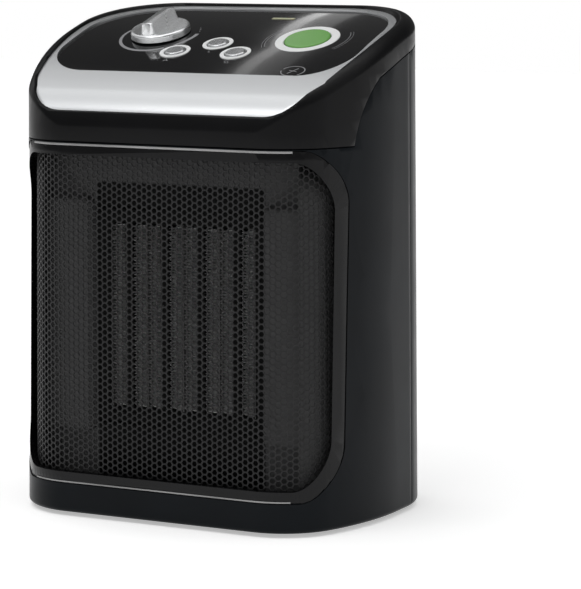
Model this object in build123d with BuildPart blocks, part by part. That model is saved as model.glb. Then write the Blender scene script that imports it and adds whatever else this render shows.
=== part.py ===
from build123d import *
import os
from math import asin, cos, radians, sin, sqrt, tan

# Ceramic fan heater, free standing. X runs to the right, Y to the back, Z up; all sizes in millimetres.
# The origin is on the floor, under the middle of the casing.

# Overall sizes
WIDTH = 201.0
DEPTH = 141.0
HEIGHT = 261.0

# Casing
WALL = 2.5
FOOT_H = 2.0
DRAFT = 0.64            # lean of every wall, in degrees
CORNER_REACH = 45.5     # how far a front corner comes in from the side
FRONT_R = 37.0
FRONT_SWEEP = 66.6      # degrees of the tight front corner arc
REAR_R = 50.0
TOP_R = 362.0           # long arc of the sloping top
NOSE_R = 26.2           # rounded nose between top and front
NOSE_SLOPE = 28.5       # degrees, where the nose meets the top
NOSE_DROP = 62.33       # nose centre below the highest point
NOSE_PROUD = 0.2
EDGE_R = 6.5
BASE_R = 2.3
SEAM_DROP = 66.9        # hood's lower seam below the highest point
SEAM_BACK = DEPTH / 2 - 39.5        # seam's corner, in front of the middle
SEAM_MID = (DEPTH / 2 - 46.5, 17.8)
SEAM_TOP_Y = DEPTH / 2 - 60.5
RIM_BAND = 14.0         # height of the hood's side below the top edge
SPLIT_Y = DEPTH / 2 - 46.5
GROOVE = 0.35           # half width of a seam groove
GROOVE_DEPTH = 0.7

# Front bezel and grille
BEZEL_SIDE = 8.5        # bezel edge in from the casing side, seen from the front
BEZEL_LOW = 17.2
BEZEL_CORNER = (14.0, 28.0)
RIM_SIDE = 3.6
RIM_HIGH = 6.0
OPENING_CORNER = (14.0, 25.0)
BEZEL_SINK = 0.3
BEZEL_DEPTH = 7.0
BEZEL_GAP = 0.25
FLANGE = 4.0
FLANGE_T = 2.0
GRILLE_SINK = 4.2
GRILLE_T = 1.0
GRILLE_LAP = 3.0

# Deck: silver trim round a glossy control panel
TRIM_SINK = 1.2
PANEL_SINK = 2.2
PANEL_T = 2.0
FLOOR_T = 2.0
FIT_GAP = 0.15
DECK_SIDE = 9.5
DECK_REAR = 12.0
DECK_REAR_R = 46.0
DECK_SWEEP = 15.1
DECK_SIDE_R = 217.0
BAND_DROP = 51.4        # band's lower edge below the highest point
BAND_PAST_FLAT = 3.0
BAND_R = 23.6
BAND_SWEEP = 59.0
PANEL_SIDE = 4.5
PANEL_FRONT_Y = -DEPTH / 2 + 32.3
PANEL_FRONT_R = 26.0
PANEL_REAR = 4.0

# Controls, as (x, y) on the deck
KNOB_XY = (-39.0, 7.6)
KNOB_R = 16.0
KNOB_SKIRT = 4.2
KNOB_H = 10.4
KNOB_GAP = 0.6
GRIP_SIZE = (10.0, 30.0)
GRIP_TAPER = 12.0
SHAFT_R = 3.0
BUTTON_XY = {"left": (-18.5, -14.0), "rear": (1.1, -3.5), "right": (17.1, -14.4)}
BUTTON_R = 5.4
RING_HOLE_R = 6.0
RING_R = 8.2
RING_T = 1.2
RING_PROUD = 0.3
ECO_XY = (49.0, 4.5)
ECO_R = 12.1
ECO_HOLE_R = 12.5
ECO_RING_R = 17.0
CAP_PROUD = 1.0
TRAVEL = 1.0
CAP_FLANGE = 1.6
CAP_FLANGE_T = 1.1
STEM_R = 2.2
LAMP_XY = (19.0, 36.5)
LAMP_SIZE = (13.3, 2.4)
BOARD_Y = -4.0
BOARD_X = 22.0
BOARD_SIZE = (88.0, 52.0)
BOARD_T = 1.6
BOARD_DROP = 14.0
SWITCH_BODY_H = 3.8
PLUNGER_H = 0.7
PRESS_GAP = 0.3
CAP_DROP = 1.0           # from the floor down to the cap's flange

# Heater core and air path
RUN_GAP = 0.05
HEATER_IN = 27.5        # heater face behind the casing front
CORE_W = 84.0
CORE_H = 97.0
FRAME_T = 7.0
CORE_DEPTH = 20.0
TERMINAL_STEP = 30.0
TERMINAL_SIZE = (6.3, 0.8)
PTC_W = 4.5
DIVIDER_T = 1.0
FIN_T = 0.4
FIN_TIP = 0.8            # room for a fold's pointed end
FIN_FOLDS = 44
FIN_DEPTH = 15.0
BULKHEAD_T = 2.5
DUCT_T = 3.0
PAD_W = 28.0
PAD_SIDE = 50.0
PAD_H = 124.0
PAD_T = 6.0
FAN_BEHIND = 9.0
FAN_R = 51.0
FAN_TIP_GAP = 2.0
FAN_DEPTH = 18.0
HUB_R = 17.0
BLADES = 7
SHROUD_LEN = 26.0
SHROUD_T = 2.5
MOTOR_SHAFT_R = 2.0
BEARING_R = 6.0
STATOR_T = 16.0
ROTOR_R = 11.9
ROTOR_GAP = 0.5
BRACKET_T = 2.0
POST_LEN = 8.0

# Back of the casing
INLET_W = 92.0
INLET_LOW = 48.0
INLET_H = 114.0
INLET_T = 3.0
SLATS = 17
SLOT_H = 3.4
GRIP_W = 86.0
GRIP_H = 26.0
GRIP_Z = HEIGHT - 51.0
GRIP_DEPTH = 26.0
GRIP_WALL = 2.0
CORD_R = 3.75
CORD_X = 34.0
CORD_Z = 24.0
GLAND_R = 8.8
SCREW_X = WIDTH / 2 - 46.5
SCREW_Z = (30.0, 160.0)
BOSS_LEN = 24.0
PLATE_EDGE = 3.0         # shroud plate beyond the screw bosses
LEDGE_DEPTH = 24.0
LEDGE_T = 4.0
BASE_SCREW_X = 48.0
PILOT_R = 1.2
SPIDER_T = 3.0
SPIDER_HUB_R = 15.0
ARM_START_R = 12.0
ARM_W = 4.0
BOSS_R = 5.0
SCREW_R = 1.3
SCREW_HEAD_R = 3.4
SCREW_GRIP = 10.0
HEAD_SINK = 5.4
FOOT_XY = (WIDTH / 2 - 30.5, DEPTH / 2 - 27.5)
FOOT_R = 8.0
PLUG_R = 3.0
BASE_T = 3.0

# Worked out
FRONT_HALF = WIDTH / 2 - CORNER_REACH
SIDE_R = (CORNER_REACH - FRONT_R * sin(radians(FRONT_SWEEP))) / (1 - sin(radians(FRONT_SWEEP)))
NOSE_Z = HEIGHT - NOSE_DROP
NOSE_Y = -DEPTH / 2 + (NOSE_Z - FOOT_H) * tan(radians(DRAFT)) + NOSE_R - NOSE_PROUD
TOP_Y = NOSE_Y + (TOP_R - NOSE_R) * sin(radians(NOSE_SLOPE))
TOP_Z = NOSE_Z - (TOP_R - NOSE_R) * cos(radians(NOSE_SLOPE))
SEAM_Z = HEIGHT - SEAM_DROP
BEZEL_HIGH = SEAM_Z - 2 * GROOVE
BEZEL_HALF = WIDTH / 2 - BEZEL_SIDE
SEAT_SINK = PANEL_SINK + PANEL_T
BASE_TOP = FOOT_H + BASE_T
FAN_Z = (BEZEL_LOW + BEZEL_HIGH) / 2 - 2.8
HEATER_Y = -DEPTH / 2 + HEATER_IN
SHROUD_Y = HEATER_Y + CORE_DEPTH + FAN_BEHIND
FAN_Y = SHROUD_Y + SHROUD_LEN / 2 + 1.0
SPIDER_Y = SHROUD_Y + SHROUD_LEN
STATOR_Y = SPIDER_Y + SPIDER_T + BRACKET_T + POST_LEN
REAR_BRACKET_Y = STATOR_Y + STATOR_T + POST_LEN
BOSS_END_Y = DEPTH / 2 - WALL - BOSS_LEN
PLATE_HALF = max(SCREW_X + BOSS_R + PLATE_EDGE, FAN_R + FAN_TIP_GAP + 9.0)
HEAD_Y = DEPTH / 2 - HEAD_SINK
REACH = 2 * (WIDTH + DEPTH + HEIGHT)

REAR_WALL = Plane(
    origin=(0, DEPTH / 2, FOOT_H),
    x_dir=(-1, 0, 0),
    z_dir=(0, cos(radians(DRAFT)), sin(radians(DRAFT))),
)
FAN_AXIS = Plane(origin=(0, 0, FAN_Z), x_dir=(1, 0, 0), z_dir=(0, 1, 0))


def roof_z(y, sink):
    """Height of the top surface at y, sunk square to itself."""
    return TOP_Z + sqrt((TOP_R - sink) ** 2 - (TOP_Y - y) ** 2)


def deck_plane(x, y, slope_y=None):
    """Plane that touches the panel at (x, y), tilted as the deck is at slope_y."""
    slope = asin((TOP_Y - (y if slope_y is None else slope_y)) / (TOP_R - PANEL_SINK))
    return Plane(
        origin=(x, y, roof_z(y, PANEL_SINK)),
        x_dir=(1, 0, 0),
        z_dir=(0, -sin(slope), cos(slope)),
    )


def casing(sink, foot_r=0.0):
    """The casing's whole outer form, moved inwards by sink."""
    front = -DEPTH / 2 + sink
    with BuildPart() as form:
        with BuildSketch(Plane.XY.offset(FOOT_H)):
            with BuildLine():
                face = Line((0, front), (FRONT_HALF, front))
                corner = JernArc(face @ 1, face % 1, FRONT_R - sink, FRONT_SWEEP)
                side = JernArc(corner @ 1, corner % 1, SIDE_R - sink, 90 - FRONT_SWEEP)
                flat = Line(side @ 1, (WIDTH / 2 - sink, DEPTH / 2 - REAR_R))
                rear = JernArc(flat @ 1, flat % 1, REAR_R - sink, 90)
                Line(rear @ 1, (0, DEPTH / 2 - sink))
                mirror(about=Plane.YZ)
            make_face()
        extrude(amount=HEIGHT, taper=DRAFT)
        with BuildSketch(Plane.YZ):
            with BuildLine():
                nose = CenterArc((NOSE_Y, NOSE_Z), NOSE_R - sink, 180, NOSE_SLOPE - 90)
                roof = CenterArc((TOP_Y, TOP_Z), TOP_R - sink, 90 + NOSE_SLOPE, -NOSE_SLOPE)
                Polyline(
                    roof @ 1,
                    (REACH, (roof @ 1).Y),
                    (REACH, REACH),
                    (-REACH, REACH),
                    (-REACH, NOSE_Z),
                    nose @ 0,
                )
            make_face()
        extrude(amount=REACH, both=True, mode=Mode.SUBTRACT)
        if sink < EDGE_R - 1.0:
            crown = form.faces().filter_by(GeomType.CYLINDER)
            crown = crown.filter_by(lambda f: abs(f.axis_of_rotation.direction.X) > 0.9)
            rim = crown.edges().filter_by(GeomType.LINE, reverse=True)
            fillet(rim.filter_by(lambda e: (e @ 0.5).Z > NOSE_Z), EDGE_R - sink)
        if foot_r:
            fillet(form.faces().sort_by(Axis.Z)[0].edges(), foot_r)
    return form.part


def front_prism(half, low, high, corner):
    """Block behind a front view outline with elliptical corners."""
    rx, rz = corner
    with BuildPart() as block:
        with BuildSketch(Plane.XZ.offset(DEPTH)):
            with BuildLine():
                Line((0, low), (half - rx, low))
                EllipticalCenterArc((half - rx, low + rz), rx, rz, start_angle=270, arc_size=90)
                Line((half, low + rz), (half, high - rz))
                EllipticalCenterArc((half - rx, high - rz), rx, rz, start_angle=0, arc_size=90)
                Line((half - rx, high), (0, high))
                mirror(about=Plane.YZ)
            make_face()
        extrude(amount=-(DEPTH - 20.0))
    return block.part


def bezel_outline(grow):
    return front_prism(
        BEZEL_HALF + grow,
        BEZEL_LOW - grow,
        BEZEL_HIGH + grow,
        (BEZEL_CORNER[0] + grow, BEZEL_CORNER[1] + grow),
    )


def opening_outline(grow):
    return front_prism(
        BEZEL_HALF - RIM_SIDE + grow,
        BEZEL_LOW + RIM_HIGH - grow,
        BEZEL_HIGH - RIM_HIGH + grow,
        (OPENING_CORNER[0] + grow, OPENING_CORNER[1] + grow),
    )


def deck_prism(grow):
    """Block under the trim's outline: its sides seen from above, its front edge from the front."""
    half = WIDTH / 2 - DECK_SIDE + grow
    rear = DEPTH / 2 - DECK_REAR + grow
    low = HEIGHT - BAND_DROP - grow
    rise = radians(BAND_SWEEP)
    with BuildPart() as block:
        with BuildSketch(Plane.XY):
            with BuildLine():
                top = Line((0, rear), (half - DECK_REAR_R, rear))
                turn = JernArc(top @ 1, top % 1, DECK_REAR_R, -90)
                long_side = JernArc(turn @ 1, turn % 1, DECK_SIDE_R, -DECK_SWEEP)
                Polyline(long_side @ 1, ((long_side @ 1).X, -DEPTH), (0, -DEPTH))
                mirror(about=Plane.YZ)
            make_face()
        extrude(amount=REACH)
        side_x = (long_side @ 1).X
        side_z = roof_z((long_side @ 1).Y, TRIM_SINK)
        with BuildSketch(Plane.XZ):
            with BuildLine():
                base = Line((0, low), (FRONT_HALF + BAND_PAST_FLAT, low))
                turn = JernArc(base @ 1, base % 1, BAND_R + grow, BAND_SWEEP)
                Polyline(
                    turn @ 1,
                    (side_x, side_z),
                    (side_x + (REACH - side_z) / tan(rise), REACH),
                    (0, REACH),
                )
                mirror(about=Plane.YZ)
            make_face()
        extrude(amount=REACH, both=True, mode=Mode.INTERSECT)
    return block.part


def panel_prism(grow):
    """Block under the glossy panel's outline."""
    half = WIDTH / 2 - DECK_SIDE - PANEL_SIDE + grow
    rear = DEPTH / 2 - DECK_REAR - PANEL_REAR + grow
    front = PANEL_FRONT_Y - grow
    rear_r = DECK_REAR_R - PANEL_REAR
    with BuildPart() as block:
        with BuildSketch(Plane.XY):
            with BuildLine():
                edge = Line((0, front), (half - PANEL_FRONT_R, front))
                turn = JernArc(edge @ 1, edge % 1, PANEL_FRONT_R, 90)
                side = Line(turn @ 1, (half, rear - rear_r))
                back = JernArc(side @ 1, side % 1, rear_r, 90)
                Line(back @ 1, (0, rear))
                mirror(about=Plane.YZ)
            make_face()
        extrude(amount=REACH)
    return block.part


def hood_zone(lift):
    """Everything above the hood's seam: level in front, up the side, then along under the top edge."""
    with BuildPart() as block:
        with BuildSketch(Plane.YZ):
            with BuildLine():
                low = Line((-REACH, SEAM_Z + lift), (-SEAM_BACK, SEAM_Z + lift))
                radius = TOP_R - RIM_BAND + lift
                top = (-SEAM_TOP_Y, TOP_Z + sqrt(radius**2 - (TOP_Y + SEAM_TOP_Y) ** 2))
                Spline(low @ 1, (-SEAM_MID[0], SEAM_Z + SEAM_MID[1] + lift), top)
                under = RadiusArc(top, (TOP_Y, TOP_Z + radius), radius)
                Polyline(under @ 1, (REACH, (under @ 1).Y), (REACH, REACH), (-REACH, REACH), low @ 0)
            make_face()
        extrude(amount=REACH, both=True)
    return block.part


def slab(near, far):
    """Everything between two depths."""
    with BuildPart() as block:
        with BuildSketch(Plane.XZ.offset(-near)):
            Rectangle(REACH, REACH)
        extrude(amount=near - far)
    return block.part


def screw_rods(near, far, radius):
    """Round bars on the four housing screw lines, from near to far."""
    with BuildPart() as rods:
        with BuildSketch(Plane.XZ.offset(-near)):
            with Locations(*[(x, z) for x in (-SCREW_X, SCREW_X) for z in SCREW_Z]):
                Circle(radius)
        extrude(amount=near - far)
    return rods.part


# Shared forms
OUTER = casing(0, foot_r=BASE_R)
INNER = casing(WALL)
SHELL = OUTER - INNER
SKIN = OUTER - casing(GROOVE_DEPTH)
HOOD = hood_zone(0)
HOOD_GROOVE = (hood_zone(-GROOVE) - hood_zone(GROOVE)) & SKIN
SEAT_FORM = casing(SEAT_SINK)
FLOOR_FORM = casing(SEAT_SINK + FLOOR_T)
KNOB = deck_plane(*KNOB_XY)
LAMP = deck_plane(*LAMP_XY)
ECO = deck_plane(*ECO_XY, BOARD_Y)
BUTTONS = {name: deck_plane(*xy, BOARD_Y) for name, xy in BUTTON_XY.items()}
BOARD = deck_plane(BOARD_X, BOARD_Y)

parts = {}


def keep(name, builder):
    builder.part.label = name
    parts[name] = builder.part


# ---- Casing ----

with BuildPart() as top_cover:
    add(SHELL & HOOD)
    add((INNER - FLOOR_FORM) & deck_prism(WALL))
    add(deck_prism(0) - SEAT_FORM, mode=Mode.SUBTRACT)
    add(HOOD_GROOVE, mode=Mode.SUBTRACT)
    with BuildSketch(BOARD.offset(-BOARD_DROP)):
        with GridLocations(BOARD_SIZE[0] - 8, BOARD_SIZE[1] - 8, 2, 2):
            Circle(3.2)
    extrude(amount=BOARD_DROP - PANEL_T - 0.65 * FLOOR_T)
    with BuildSketch(BOARD.offset(-BOARD_DROP)):
        with GridLocations(BOARD_SIZE[0] - 8, BOARD_SIZE[1] - 8, 2, 2):
            Circle(1.2)
    extrude(amount=8, mode=Mode.SUBTRACT)
    for plane, radius in [(ECO, ECO_HOLE_R)] + [(p, RING_HOLE_R) for p in BUTTONS.values()]:
        with BuildSketch(plane.offset(-PANEL_T - FLOOR_T - 1.0)):
            Circle(radius)
        extrude(amount=10, mode=Mode.SUBTRACT)
    with BuildSketch(KNOB.offset(-PANEL_T - FLOOR_T - 1.0)):
        Circle(SHAFT_R + 3)
    extrude(amount=10, mode=Mode.SUBTRACT)
    with BuildSketch(LAMP.offset(-PANEL_T - FLOOR_T - 1.0)):
        Rectangle(*LAMP_SIZE)
    extrude(amount=10, mode=Mode.SUBTRACT)
keep("top_cover", top_cover)

with BuildPart() as front_housing:
    add(SHELL - HOOD)
    split(bisect_by=Plane.XZ.offset(-SPLIT_Y), keep=Keep.TOP)
    add(bezel_outline(0), mode=Mode.SUBTRACT)
    add(HOOD_GROOVE, mode=Mode.SUBTRACT)
    add(slab(SPLIT_Y - GROOVE, SPLIT_Y) & SKIN, mode=Mode.SUBTRACT)
keep("front_housing", front_housing)

with BuildPart() as rear_housing:
    add(SHELL - HOOD)
    split(bisect_by=Plane.XZ.offset(-SPLIT_Y), keep=Keep.BOTTOM)
    add(HOOD_GROOVE, mode=Mode.SUBTRACT)
    add(slab(SPLIT_Y, SPLIT_Y + GROOVE) & SKIN, mode=Mode.SUBTRACT)
    add(screw_rods(BOSS_END_Y, REACH, BOSS_R) & INNER)
    add(screw_rods(BOSS_END_Y, REACH, 1.8), mode=Mode.SUBTRACT)
    add(screw_rods(HEAD_Y, REACH, SCREW_HEAD_R + 0.3), mode=Mode.SUBTRACT)
    with BuildSketch(REAR_WALL.offset(-WALL - 1)):
        with Locations((0, INLET_LOW + INLET_H / 2 - FOOT_H)):
            RectangleRounded(INLET_W, INLET_H, 8)
        with Locations((0, GRIP_Z - FOOT_H)):
            RectangleRounded(GRIP_W, GRIP_H, 8)
        with Locations((-CORD_X, CORD_Z - FOOT_H)):
            Circle(GLAND_R)
    extrude(amount=WALL + 5, mode=Mode.SUBTRACT)
keep("rear_housing", rear_housing)

with BuildPart() as base_plate:
    add(INNER)
    split(bisect_by=Plane.XY.offset(BASE_TOP), keep=Keep.BOTTOM)
    with BuildSketch(Plane.XY):
        with GridLocations(2 * FOOT_XY[0], 2 * FOOT_XY[1], 2, 2):
            Circle(PLUG_R)
        with Locations((-48, SHROUD_Y + 13), (48, SHROUD_Y + 13)):
            Circle(1.8)
    extrude(amount=REACH, mode=Mode.SUBTRACT)
keep("base_plate", base_plate)

with BuildPart() as rubber_feet:
    with BuildSketch(Plane.XY):
        with GridLocations(2 * FOOT_XY[0], 2 * FOOT_XY[1], 2, 2):
            Circle(FOOT_R)
    extrude(amount=FOOT_H)
    fillet(rubber_feet.faces().filter_by(Axis.Z).group_by(Axis.Z)[0].edges(), 0.6)
    with BuildSketch(Plane.XY.offset(FOOT_H)):
        with GridLocations(2 * FOOT_XY[0], 2 * FOOT_XY[1], 2, 2):
            Circle(PLUG_R)
    extrude(amount=BASE_T)
keep("rubber_feet", rubber_feet)

# ---- Front ----

with BuildPart() as front_bezel:
    add((casing(BEZEL_SINK) - casing(BEZEL_DEPTH)) & bezel_outline(-BEZEL_GAP))
    add((INNER - casing(WALL + FLANGE_T)) & (bezel_outline(FLANGE) - bezel_outline(-1)))
    add(opening_outline(0), mode=Mode.SUBTRACT)
    add(casing(GRILLE_SINK) & opening_outline(GRILLE_LAP + FIT_GAP), mode=Mode.SUBTRACT)
keep("front_bezel", front_bezel)

with BuildPart() as grille_mesh:
    add((casing(GRILLE_SINK) - casing(GRILLE_SINK + GRILLE_T)) & opening_outline(GRILLE_LAP))
keep("grille_mesh", grille_mesh)

# ---- Deck ----

with BuildPart() as trim_band:
    add((casing(TRIM_SINK) - SEAT_FORM) & deck_prism(-FIT_GAP))
    add(panel_prism(FIT_GAP), mode=Mode.SUBTRACT)
keep("trim_band", trim_band)

with BuildPart() as control_panel:
    add((casing(PANEL_SINK) - SEAT_FORM) & panel_prism(0))
    for plane, hole, ring in [(ECO, ECO_HOLE_R, ECO_RING_R)] + [
        (p, RING_HOLE_R, RING_R) for p in BUTTONS.values()
    ]:
        with BuildSketch(plane.offset(-PANEL_T - 1)):
            Circle(hole)
        extrude(amount=6, mode=Mode.SUBTRACT)
        with BuildSketch(plane.offset(RING_PROUD - RING_T)):
            Circle(ring)
        extrude(amount=3, mode=Mode.SUBTRACT)
    with BuildSketch(KNOB.offset(-PANEL_T - 1)):
        Circle(SHAFT_R + 0.5)
    extrude(amount=6, mode=Mode.SUBTRACT)
    with BuildSketch(LAMP.offset(-PANEL_T - 1)):
        Rectangle(*LAMP_SIZE)
    extrude(amount=6, mode=Mode.SUBTRACT)
keep("control_panel", control_panel)

with BuildPart() as button_rings:
    for plane in BUTTONS.values():
        with BuildSketch(plane.offset(RING_PROUD - RING_T)):
            Circle(RING_R)
            Circle(RING_HOLE_R, mode=Mode.SUBTRACT)
        extrude(amount=RING_T)
keep("button_rings", button_rings)

with BuildPart() as eco_ring:
    with BuildSketch(ECO.offset(RING_PROUD - RING_T)):
        Circle(ECO_RING_R)
        Circle(ECO_HOLE_R, mode=Mode.SUBTRACT)
    extrude(amount=RING_T)
keep("eco_ring", eco_ring)

FLOOR_LOW = -PANEL_T - FLOOR_T
SWITCH_TOP = -BOARD_DROP + SWITCH_BODY_H + PLUNGER_H


def press_cap(plane, radius, stem_r, dome):
    """A push cap with a holding flange under the floor and a stem over its switch."""
    flange_low = FLOOR_LOW - CAP_DROP - CAP_FLANGE_T
    stem_low = SWITCH_TOP + TRAVEL + PRESS_GAP
    with BuildPart() as cap:
        with BuildSketch(plane.offset(flange_low)):
            Circle(radius)
        extrude(amount=CAP_PROUD - flange_low)
        fillet(cap.edges().filter_by(GeomType.CIRCLE).sort_by(Axis.Z)[-1], dome)
        with BuildSketch(plane.offset(flange_low)):
            Circle(radius + CAP_FLANGE)
        extrude(amount=CAP_FLANGE_T)
        with BuildSketch(plane.offset(stem_low)):
            Circle(stem_r)
        extrude(amount=flange_low - stem_low)
    return cap


for side, plane in BUTTONS.items():
    keep(f"mode_button_{side}", press_cap(plane, BUTTON_R, STEM_R, 0.9))

keep("eco_button", press_cap(ECO, ECO_R, STEM_R + 1.0, 0.7))

with BuildPart() as pilot_lamp:
    with BuildSketch(LAMP.offset(FLOOR_LOW)):
        Rectangle(LAMP_SIZE[0] - 0.2, LAMP_SIZE[1] - 0.2)
    extrude(amount=0.3 - FLOOR_LOW)
    with BuildSketch(LAMP.offset(FLOOR_LOW - 2)):
        Rectangle(LAMP_SIZE[0] + 3, LAMP_SIZE[1] + 3)
    extrude(amount=2 - FIT_GAP)
keep("pilot_lamp", pilot_lamp)

with BuildPart() as thermostat_knob:
    with BuildSketch(KNOB.offset(KNOB_GAP)):
        Circle(KNOB_R)
    extrude(amount=KNOB_SKIRT - KNOB_GAP, taper=4)
    fillet(thermostat_knob.edges().filter_by(GeomType.CIRCLE).sort_by(Axis.Z)[-1], 1.4)
    with BuildSketch(KNOB.offset(KNOB_GAP + 1)):
        RectangleRounded(*GRIP_SIZE, 3)
    extrude(amount=KNOB_H - KNOB_GAP - 1, taper=GRIP_TAPER)
    with BuildSketch(KNOB.offset(KNOB_GAP)):
        Circle(SHAFT_R)
    extrude(amount=KNOB_H - 4, mode=Mode.SUBTRACT)
keep("thermostat_knob", thermostat_knob)

THERMOSTAT_TOP = FLOOR_LOW - 1.5

with BuildPart() as thermostat_shaft:
    with BuildSketch(KNOB.offset(THERMOSTAT_TOP - 10)):
        Circle(SHAFT_R)
    extrude(amount=10 - THERMOSTAT_TOP + KNOB_GAP + KNOB_H - 4)
keep("thermostat_shaft", thermostat_shaft)

with BuildPart() as thermostat_body:
    with BuildSketch(KNOB.offset(THERMOSTAT_TOP - 18)):
        RectangleRounded(26, 24, 2)
    extrude(amount=18)
    with BuildSketch(KNOB.offset(THERMOSTAT_TOP)):
        Circle(SHAFT_R + 2.8)
    extrude(amount=-THERMOSTAT_TOP - PANEL_T - FIT_GAP)
    with BuildSketch(KNOB.offset(THERMOSTAT_TOP - 10.5)):
        Circle(SHAFT_R + RUN_GAP)
    extrude(amount=30, mode=Mode.SUBTRACT)
keep("thermostat_body", thermostat_body)

with BuildPart() as control_board:
    with BuildSketch(BOARD.offset(-BOARD_DROP - BOARD_T)):
        RectangleRounded(*BOARD_SIZE, 2)
        with GridLocations(BOARD_SIZE[0] - 8, BOARD_SIZE[1] - 8, 2, 2):
            Circle(1.6, mode=Mode.SUBTRACT)
    extrude(amount=BOARD_T)
    with BuildSketch(BOARD.offset(-BOARD_DROP - BOARD_T)):
        with Locations((20, -8), (34, 6)):
            Rectangle(15, 12)
    extrude(amount=-9)
keep("control_board", control_board)

with BuildPart() as tact_switches:
    for plane in [ECO, *BUTTONS.values()]:
        level = BOARD.to_local_coords(plane.origin).Z
        with BuildSketch(plane.offset(-BOARD_DROP - level)):
            Rectangle(6, 6)
        extrude(amount=SWITCH_BODY_H + level)
        with BuildSketch(plane.offset(-BOARD_DROP + SWITCH_BODY_H)):
            Circle(1.7)
        extrude(amount=PLUNGER_H)
keep("tact_switches", tact_switches)

with BuildPart() as board_screws:
    with BuildSketch(BOARD.offset(-BOARD_DROP - BOARD_T - 1.8)):
        with GridLocations(BOARD_SIZE[0] - 8, BOARD_SIZE[1] - 8, 2, 2):
            Circle(2.8)
    extrude(amount=1.8)
    with BuildSketch(BOARD.offset(-BOARD_DROP - BOARD_T)):
        with GridLocations(BOARD_SIZE[0] - 8, BOARD_SIZE[1] - 8, 2, 2):
            Circle(1.2)
    extrude(amount=BOARD_T + 6)
keep("board_screws", board_screws)

# ---- Heater core ----

SLEEVE_W = CORE_W + 2 * FRAME_T
SLEEVE_H = CORE_H + 2 * FRAME_T
COLUMNS = 4
COLUMN = CORE_W / COLUMNS
FIN_W = (COLUMN - PTC_W - DIVIDER_T) / 2


def fan_face(y):
    """Front view plane at y, centred on the fan's axis."""
    return Plane(origin=(0, y, FAN_Z), x_dir=(1, 0, 0), z_dir=(0, -1, 0))


with BuildPart() as air_duct:
    with BuildSketch(fan_face(HEATER_Y + BULKHEAD_T)):
        Rectangle(REACH, SEAM_Z - BASE_TOP - 8)
        Rectangle(SLEEVE_W, SLEEVE_H, mode=Mode.SUBTRACT)
    extrude(amount=BULKHEAD_T)
    add(casing(BEZEL_DEPTH + 1.0), mode=Mode.INTERSECT)
    with BuildSketch(fan_face(HEATER_Y)):
        with Locations((-PAD_SIDE - PAD_W / 2, 0), (PAD_SIDE + PAD_W / 2, 0)):
            RectangleRounded(PAD_W, PAD_H, 4)
    extrude(amount=PAD_T, taper=12)
    with BuildSketch(fan_face(SHROUD_Y)):
        Rectangle(SLEEVE_W + 2 * DUCT_T, SLEEVE_H + 2 * DUCT_T)
        Rectangle(SLEEVE_W, SLEEVE_H, mode=Mode.SUBTRACT)
    extrude(amount=SHROUD_Y - HEATER_Y)
keep("air_duct", air_duct)

with BuildPart() as heater_frame:
    with BuildSketch(fan_face(HEATER_Y + CORE_DEPTH)):
        Rectangle(SLEEVE_W, SLEEVE_H)
        Rectangle(CORE_W, CORE_H, mode=Mode.SUBTRACT)
    extrude(amount=CORE_DEPTH)
    chamfer(heater_frame.faces().sort_by(Axis.Y)[0].inner_wires()[0].edges(), 2.5)
keep("heater_frame", heater_frame)

CORE_BACK = HEATER_Y + (CORE_DEPTH + FIN_DEPTH) / 2
COLUMN_X = [COLUMN * (i + 0.5) - CORE_W / 2 for i in range(COLUMNS)]

with BuildPart() as ptc_bars:
    with BuildSketch(fan_face(CORE_BACK)):
        with Locations(*[(x, 0) for x in COLUMN_X]):
            Rectangle(PTC_W, CORE_H)
    extrude(amount=FIN_DEPTH)
keep("ptc_bars", ptc_bars)

with BuildPart() as fin_dividers:
    with BuildSketch(fan_face(CORE_BACK)):
        with Locations(*[(x - COLUMN / 2, 0) for x in COLUMN_X[1:]]):
            Rectangle(DIVIDER_T, CORE_H)
        with Locations((-CORE_W / 2 + DIVIDER_T / 4, 0), (CORE_W / 2 - DIVIDER_T / 4, 0)):
            Rectangle(DIVIDER_T / 2, CORE_H)
    extrude(amount=FIN_DEPTH)
keep("fin_dividers", fin_dividers)

with BuildPart() as heater_fins:
    fold = CORE_H / FIN_FOLDS
    swing = FIN_W / 2 - FIN_TIP
    with BuildSketch(fan_face(CORE_BACK)):
        for x in COLUMN_X:
            for side in (-1, 1):
                middle = x + side * (PTC_W + FIN_W) / 2
                with BuildLine():
                    Polyline(
                        *[
                            (middle + (swing if i % 2 else -swing), fold * (i + 0.5) - CORE_H / 2)
                            for i in range(FIN_FOLDS)
                        ]
                    )
                trace(line_width=FIN_T)
    extrude(amount=FIN_DEPTH)
keep("heater_fins", heater_fins)

with BuildPart() as heater_terminals:
    with BuildSketch(fan_face(HEATER_Y + CORE_DEPTH)):
        with Locations((0, (CORE_H + FRAME_T) / 2)):
            with GridLocations(TERMINAL_STEP, 1, 3, 1):
                Rectangle(*TERMINAL_SIZE)
    extrude(amount=-(FAN_BEHIND - 2))
keep("heater_terminals", heater_terminals)

with BuildPart() as thermal_cutout:
    with BuildSketch(Plane.XY.offset(FAN_Z + SLEEVE_H / 2 + DUCT_T)):
        with Locations((0, SHROUD_Y - 14)):
            Circle(8)
    extrude(amount=5)
    with BuildSketch(Plane.XY.offset(FAN_Z + SLEEVE_H / 2 + DUCT_T + 5)):
        with Locations((-4, SHROUD_Y - 14), (4, SHROUD_Y - 14)):
            Rectangle(0.8, 6.3)
    extrude(amount=8)
keep("thermal_cutout", thermal_cutout)

# ---- Fan and motor ----

SHROUD_R = FAN_R + FAN_TIP_GAP

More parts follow.
